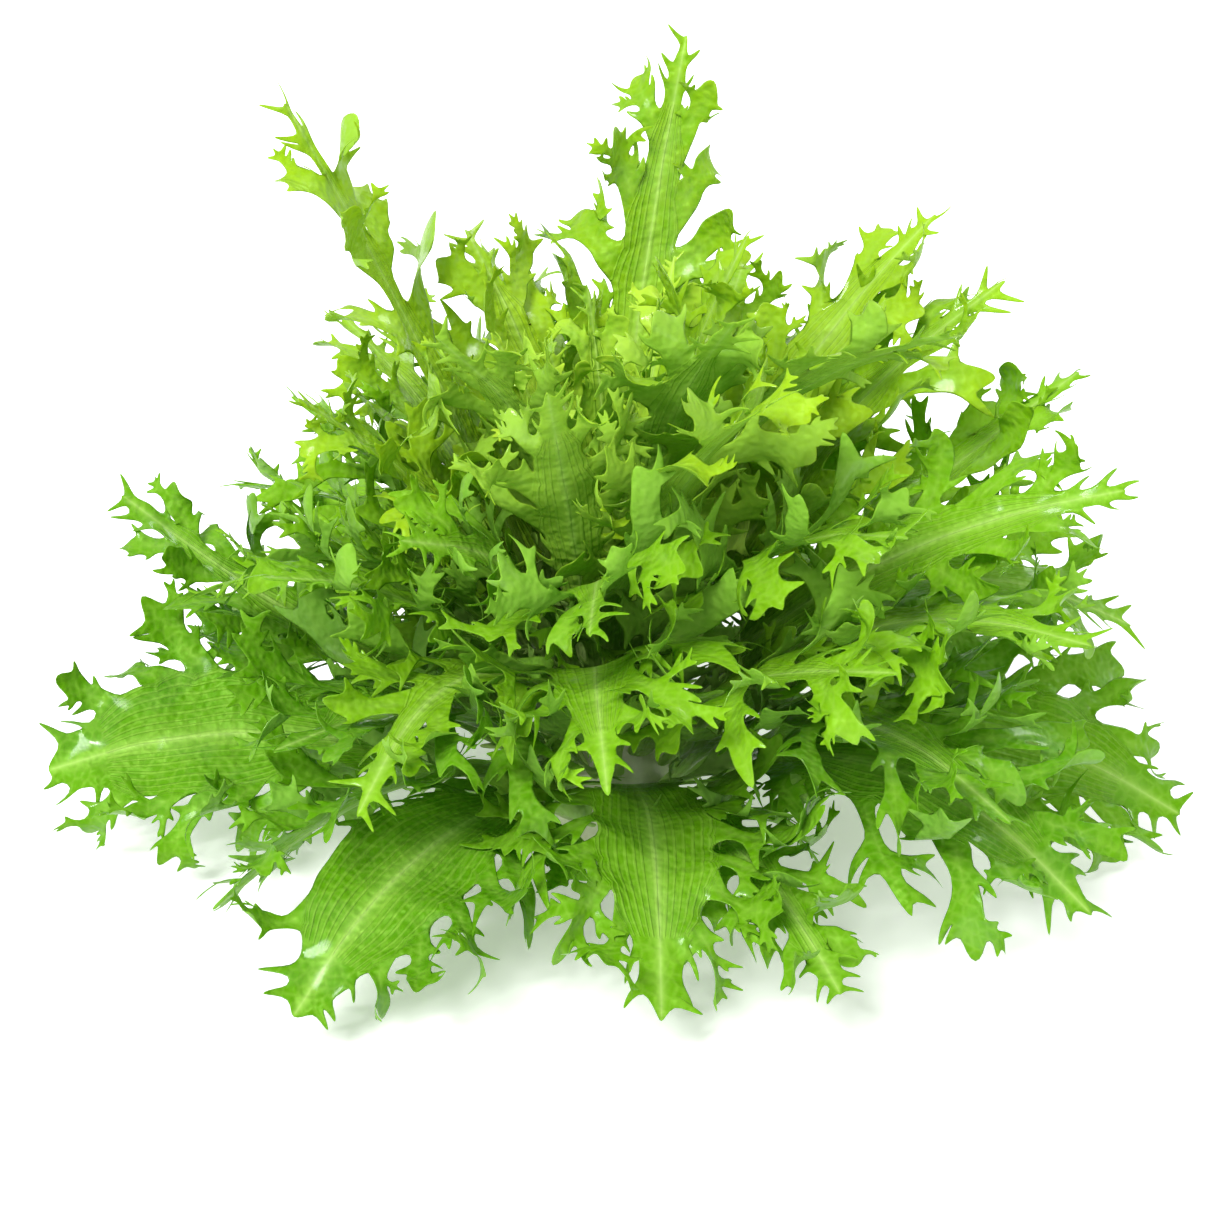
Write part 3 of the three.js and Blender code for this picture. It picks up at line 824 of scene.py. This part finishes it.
def leaf_material(slot, blade, colours):
    """Fresh leaf: mottled green with pale veins and foot, a hazy underside, light through it."""
    n = Nodes(f"{slot}_blade")
    vein, along, fringe = n.parts("leaf_tone")
    across, back, tint = n.parts("leaf_place")
    deep = opaque(c * s for c, s in zip(blade, DEEPER))
    young = opaque(min(1.0, c * s) for c, s in zip(blade, YOUNGER))
    vein_tone, foot_tone = opaque(colours.vein), opaque(colours.foot)

    patches = n.ramp(n.noise(32.0), 0.36, 0.66)
    mottle = n.ramp(n.noise(260.0, detail=1.0, roughness=0.7), 0.3, 0.75)
    body = n.mix(patches, deep, opaque(blade))
    body = n.tinted(body, mottle, 0.3, young)
    body = n.tinted(body, tint, 0.75, young)
    body = n.mix(n.ramp(fringe, 0.45, 1.0, to_high=0.5), body, young)

    drift = n.math("MULTIPLY", n.noise(55.0), 5.0)
    turns = n.math("MULTIPLY", across, 2 * math.pi / STRIPE_SPACING)
    stripes = n.ramp(n.math("SINE", n.math("ADD", turns, drift)), 0.0, 1.0)
    on_blade = n.ramp(fringe, 0.0, 0.1, to_low=1.0, to_high=0.0)
    stripes = n.math("MULTIPLY", n.math("MULTIPLY", stripes, on_blade), 0.18)
    body = n.mix(stripes, body, vein_tone)
    body = n.tinted(body, n.net(300.0), 0.14, vein_tone)
    body = n.tinted(body, n.math("POWER", vein, 2.0), 0.42, vein_tone)
    body = n.tinted(body, n.math("POWER", vein, 7.0), 0.3, foot_tone)
    front = n.mix(n.ramp(along, 0.05, 0.36, to_low=0.8, to_high=0.0), body, foot_tone)

    grain = n.math("MULTIPLY", n.noise(520.0), 0.5)
    puckers = n.math("ADD", grain, n.noise(150.0))
    relief = n.bump(n.math("ADD", puckers, stripes), strength=0.8, distance=0.0015)
    surface = n.principled(
        Base_Color=n.tinted(front, back, 0.4, opaque(colours.back)),
        Roughness=n.ramp(mottle, 0.0, 1.0, to_low=0.48, to_high=0.34),
        IOR=1.42,
        Specular_IOR_Level=0.4,
        Specular_Tint=(0.55, 1.0, 0.2, 1.0),
        Coat_Weight=n.ramp(n.noise(70.0), 0.54, 0.66, to_high=0.55),
        Coat_Roughness=0.12,
        Normal=relief,
    )
    light = {"Color": n.mix(0.45, front, opaque(colours.through)), "Normal": relief}
    through = n.new("ShaderNodeBsdfTranslucent", light).outputs[0]
    both = n.new("ShaderNodeMixShader", {0: colours.glow, 1: surface, 2: through})
    return n.finish(both.outputs[0])


def stem_material(pale):
    """Cut stem: pale and fibrous, browned a little on the cut face."""
    n = Nodes("cut_stem_flesh")
    height = n.new("ShaderNodeSeparateXYZ", {0: n.coordinates()}).outputs[2]
    fibres = n.ramp(n.noise(180.0, detail=4.0), 0.35, 0.7)
    body = n.mix(fibres, opaque(c * 0.82 for c in pale), opaque(pale))
    cut_face = n.ramp(height, 0.0, 0.0012, to_low=1.0, to_high=0.0)
    browned = n.math("MULTIPLY", cut_face, 0.7)
    shader = n.principled(
        Base_Color=n.tinted(body, browned, n.noise(90.0, detail=3.0), BROWNED),
        Roughness=n.ramp(fibres, 0.0, 1.0, to_low=0.4, to_high=0.6),
        Normal=n.bump(n.noise(300.0, detail=3.0), strength=0.4, distance=0.0008),
    )
    return n.finish(shader)


def floor_material(tone):
    """Matt white studio floor, lit from beneath a little, with a trace of unevenness."""
    n = Nodes("studio_floor")
    faint = n.ramp(n.noise(3.0, detail=2.0), 0.3, 0.7)
    shader = n.principled(
        Base_Color=n.mix(faint, opaque(c * 0.985 for c in tone), opaque(tone)),
        Roughness=0.8,
        Specular_IOR_Level=0.2,
        Emission_Color=opaque(tone),
        Emission_Strength=0.28,
    )
    return n.finish(shader)


# What a user would change


def green(name, description, default):
    return FloatVectorProperty(
        name=name, description=description, default=default, min=0.0, max=1.0, subtype="COLOR"
    )


def number(name, description, default, low, high, **kind):
    return FloatProperty(
        name=name, description=description, default=default, min=low, max=high, **kind
    )


SHARE = dict(subtype="FACTOR")
ANGLE = dict(subtype="ANGLE", unit="ROTATION")
DISTANCE = dict(subtype="DISTANCE", unit="LENGTH")


class EndiveLeafSettings(PropertyGroup):
    blade_half: number("Blade half thickness", "Half of the blade, in mm", 0.24, 0.15, 0.5)
    rib_half: number("Rib half thickness", "Half of the rib at its foot, in mm", 1.9, 1.0, 3.0)
    twist: number(
        "Lobe twist", "Most that a lobe twists", math.radians(115), 0.0, math.pi, **ANGLE
    )
    ruffle: number("Ruffle", "Margins' waves, as a share of the usual", 1.0, 0.0, 3.0, **SHARE)
    toothing: number("Toothing", "Lobes' teeth, as a share of the usual", 1.0, 0.0, 1.5, **SHARE)


class EndiveColourSettings(PropertyGroup):
    outer: green("Outer leaves", "Blade colour of the lowest leaves", (0.09, 0.285, 0.004))
    middle: green("Middle leaves", "Blade colour of the leaves above them", (0.145, 0.375, 0.006))
    inner: green("Inner leaves", "Blade colour of the upper leaves", (0.24, 0.47, 0.01))
    heart: green("Heart leaves", "Blade colour of the youngest leaves", (0.36, 0.62, 0.04))
    stem: green("Stem", "Colour of the cut stem", (0.78, 0.82, 0.58))
    vein: green("Veins", "Colour of the ribs and veins", (0.4, 0.64, 0.1))
    foot: green("Leaf foot", "Colour of a leaf where it leaves the stem", (0.6, 0.76, 0.28))
    back: green("Underside", "Haze on the underside of a leaf", (0.24, 0.46, 0.08))
    through: green("Light through", "Colour of light through a leaf", (0.36, 0.8, 0.012))
    glow: number("Translucence", "Share of light that a leaf lets through", 0.3, 0.0, 0.8, **SHARE)


class EndiveStageSettings(PropertyGroup):
    distance: number(
        "Camera distance", "From the camera to what it looks at", 0.83, 0.3, 3.0, **DISTANCE
    )
    elevation: number(
        "Camera elevation", "Downward look", math.radians(25), 0.0, math.radians(89), **ANGLE
    )
    aim: number("Aim height", "Height that the camera looks at", 0.066, 0.0, 0.3, **DISTANCE)
    lens: number("Lens", "Focal length, sensor 36 mm wide", 89.0, 20.0, 200.0, unit="CAMERA")
    sky: number("Fill light", "Strength of the even white light from all round", 0.8, 0.0, 3.0)
    key: number("Key light", "Strength of the soft light above the front left", 3.6, 0.0, 20.0)
    floor: green("Floor", "Colour of the studio floor", (0.93, 0.93, 0.93))


# Pieces

GROWN = {}  # every solid leaf's growth, found once


def add_leaves(context, slot, blade):
    """Builds each leaf of one kind in place of its solid."""
    if not GROWN:
        GROWN.update(grown_leaves())
    leaf = context.scene.endive_leaf
    material = leaf_material(slot, tuple(blade), context.scene.endive_colours)
    for name in sorted(n for n in GROWN if n.startswith(slot)):
        mesh = leaf_mesh(f"{name}_frilled", GROWN[name], leaf)
        mesh.materials.append(material)
        piece = bpy.data.objects.new(f"{name}_frilled", mesh)
        context.scene.collection.objects.link(piece)
        smooth = piece.modifiers.new("Rounded", "SUBSURF")
        smooth.levels = smooth.render_levels = 1
        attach(piece, "root")
        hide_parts(name)


class ENDIVE_OT_outer_leaves(Operator):
    """Grow the outer leaves, which arch out and rest on the surface"""

    bl_idname = "endive.outer_leaves"
    bl_label = "Outer leaves"

    def execute(self, context):
        add_leaves(context, "outer_leaf", context.scene.endive_colours.outer)
        return {"FINISHED"}


class ENDIVE_OT_middle_leaves(Operator):
    """Grow the middle leaves, which make the sides of the mound"""

    bl_idname = "endive.middle_leaves"
    bl_label = "Middle leaves"

    def execute(self, context):
        add_leaves(context, "middle_leaf", context.scene.endive_colours.middle)
        return {"FINISHED"}


class ENDIVE_OT_inner_leaves(Operator):
    """Grow the inner leaves, which make the top of the mound and stand out of it"""

    bl_idname = "endive.inner_leaves"
    bl_label = "Inner leaves"

    def execute(self, context):
        add_leaves(context, "inner_leaf", context.scene.endive_colours.inner)
        return {"FINISHED"}


class ENDIVE_OT_heart_leaves(Operator):
    """Grow the small pale leaves in the middle of the head"""

    bl_idname = "endive.heart_leaves"
    bl_label = "Heart leaves"

    def execute(self, context):
        add_leaves(context, "heart_leaf", context.scene.endive_colours.heart)
        return {"FINISHED"}


class ENDIVE_OT_cut_stem(Operator):
    """Turn the short cut stem, with leaf scars up its spiral"""

    bl_idname = "endive.cut_stem"
    bl_label = "Cut stem"

    SIDES = 48
    RINGS = 40
    SHRINK = 0.985  # against the solid stem, so that the scars stay within it
    SCAR_DEPTH = 0.35
    SCAR_RISE = 0.9  # height for a whole scar
    SCARS_END = 0.9  # share of the stem's height
    TOP_SINK = 0.4

    def execute(self, context):
        heights = np.linspace(0, 1, self.RINGS + 1)[1:-1] * STEM_HEIGHT
        profile_z, profile_r = zip(*STEM_PROFILE)
        places = [(0.0, 0.0, 0.0)]
        rings = [0.0, *heights]
        for z in rings:
            radius = float(np.interp(z, profile_z, profile_r)) * self.SHRINK
            for side in range(self.SIDES):
                azimuth = 360 * side / self.SIDES
                turns = (azimuth - SPIRAL_START) / SPIRAL_TURN + z / self.SCAR_RISE
                scarred = 0 < z < self.SCARS_END * STEM_HEIGHT
                scar = self.SCAR_DEPTH * math.sin(2 * math.pi * turns) * scarred
                places.append(tuple(direction(azimuth, 0) * (radius + scar) + [0, 0, z]))
        places.append((0.0, 0.0, STEM_HEIGHT - self.TOP_SINK))
        faces = []
        top = 1 + (len(rings) - 1) * self.SIDES
        for side in range(self.SIDES):
            after = (side + 1) % self.SIDES
            faces.append((0, 1 + after, 1 + side))
            for low in range(1, top, self.SIDES):
                high = low + self.SIDES
                faces.append((low + side, low + after, high + after, high + side))
            faces.append((top + side, top + after, len(places) - 1))
        mesh = bpy.data.meshes.new("cut_stem_turned")
        mesh.from_pydata([tuple(c * MM for c in p) for p in places], [], faces)
        mesh.shade_smooth()
        mesh.materials.append(stem_material(tuple(context.scene.endive_colours.stem)))
        piece = bpy.data.objects.new("cut_stem_turned", mesh)
        context.scene.collection.objects.link(piece)
        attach(piece, "root")
        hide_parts("cut_stem")
        return {"FINISHED"}


class ENDIVE_OT_stage(Operator):
    """Set the pale floor, the soft lights and the camera"""

    bl_idname = "endive.stage"
    bl_label = "Stage"

    FLOOR_HALF = 30.0  # metres, so that its edge is far out of sight
    LIGHTS = (  # name, from where, share of the key light's strength, breadth in degrees
        ("key_light", (-0.35, -0.6, 0.85), 1.0, 24),
        ("rim_light", (0.6, 0.75, 0.9), 0.3, 24),
        ("glint_light", (-0.6, -0.5, 0.7), 0.16, 4),
    )

    def execute(self, context):
        scene, stage = context.scene, context.scene.endive_stage
        half = self.FLOOR_HALF
        corners = [(-half, -half, 0), (half, -half, 0), (half, half, 0), (-half, half, 0)]
        mesh = bpy.data.meshes.new("studio_floor")
        mesh.from_pydata(corners, [], [(0, 1, 2, 3)])
        mesh.materials.append(floor_material(tuple(stage.floor)))
        floor = bpy.data.objects.new("studio_floor", mesh)
        scene.collection.objects.link(floor)

        world = bpy.data.worlds.new("studio_fill")
        world.use_nodes = True
        backdrop = world.node_tree.nodes["Background"]
        backdrop.inputs["Color"].default_value = (1.0, 1.0, 1.0, 1.0)
        backdrop.inputs["Strength"].default_value = stage.sky
        scene.world = world
        scene.view_settings.view_transform = "Standard"
        scene.view_settings.look = "None"

        target = Vector((0, 0, stage.aim))
        for name, towards, share, breadth in self.LIGHTS:
            self.add_light(scene, name, towards, share * stage.key, breadth)

        camera = bpy.data.cameras.new("photo_camera")
        camera.lens = stage.lens
        camera.sensor_width = 36.0
        camera.clip_start = 0.01
        holder = bpy.data.objects.new("photo_camera", camera)
        away = Vector((0, -math.cos(stage.elevation), math.sin(stage.elevation)))
        holder.location = target + away * stage.distance
        holder.rotation_euler = (-away).to_track_quat("-Z", "Y").to_euler()
        scene.collection.objects.link(holder)
        scene.camera = holder
        return {"FINISHED"}

    @staticmethod
    def add_light(scene, name, towards, strength, breadth):
        light = bpy.data.lights.new(name, "SUN")
        light.energy = strength
        light.angle = math.radians(breadth)
        lamp = bpy.data.objects.new(name, light)
        lamp.rotation_euler = Vector(towards).to_track_quat("Z", "Y").to_euler()
        scene.collection.objects.link(lamp)


class ENDIVE_PT_head(Panel):
    """The head's sizes, colours and pieces"""

    bl_idname = "ENDIVE_PT_head"
    bl_label = "Curly Endive Head"
    bl_space_type = "VIEW_3D"
    bl_region_type = "UI"
    bl_category = "Endive"

    def draw(self, context):
        for group in GROUPS:
            settings = getattr(context.scene, group)
            box = self.layout.box()
            for key in settings.__annotations__:
                box.prop(settings, key)
        for operator in OPERATORS:
            self.layout.operator(operator.bl_idname)


OPERATORS = (
    ENDIVE_OT_stage,
    ENDIVE_OT_cut_stem,
    ENDIVE_OT_outer_leaves,
    ENDIVE_OT_middle_leaves,
    ENDIVE_OT_inner_leaves,
    ENDIVE_OT_heart_leaves,
)
GROUPS = dict(
    endive_leaf=EndiveLeafSettings,
    endive_colours=EndiveColourSettings,
    endive_stage=EndiveStageSettings,
)


def register():
    for cls in (*GROUPS.values(), *OPERATORS, ENDIVE_PT_head):
        bpy.utils.register_class(cls)
    for name, cls in GROUPS.items():
        setattr(bpy.types.Scene, name, PointerProperty(type=cls))


def unregister():
    for name in GROUPS:
        delattr(bpy.types.Scene, name)
    for cls in reversed((*GROUPS.values(), *OPERATORS, ENDIVE_PT_head)):
        bpy.utils.unregister_class(cls)


def main():
    register()
    bpy.ops.endive.stage()
    bpy.ops.endive.cut_stem()
    bpy.ops.endive.outer_leaves()
    bpy.ops.endive.middle_leaves()
    bpy.ops.endive.inner_leaves()
    bpy.ops.endive.heart_leaves()


if __name__ == "__main__":
    main()
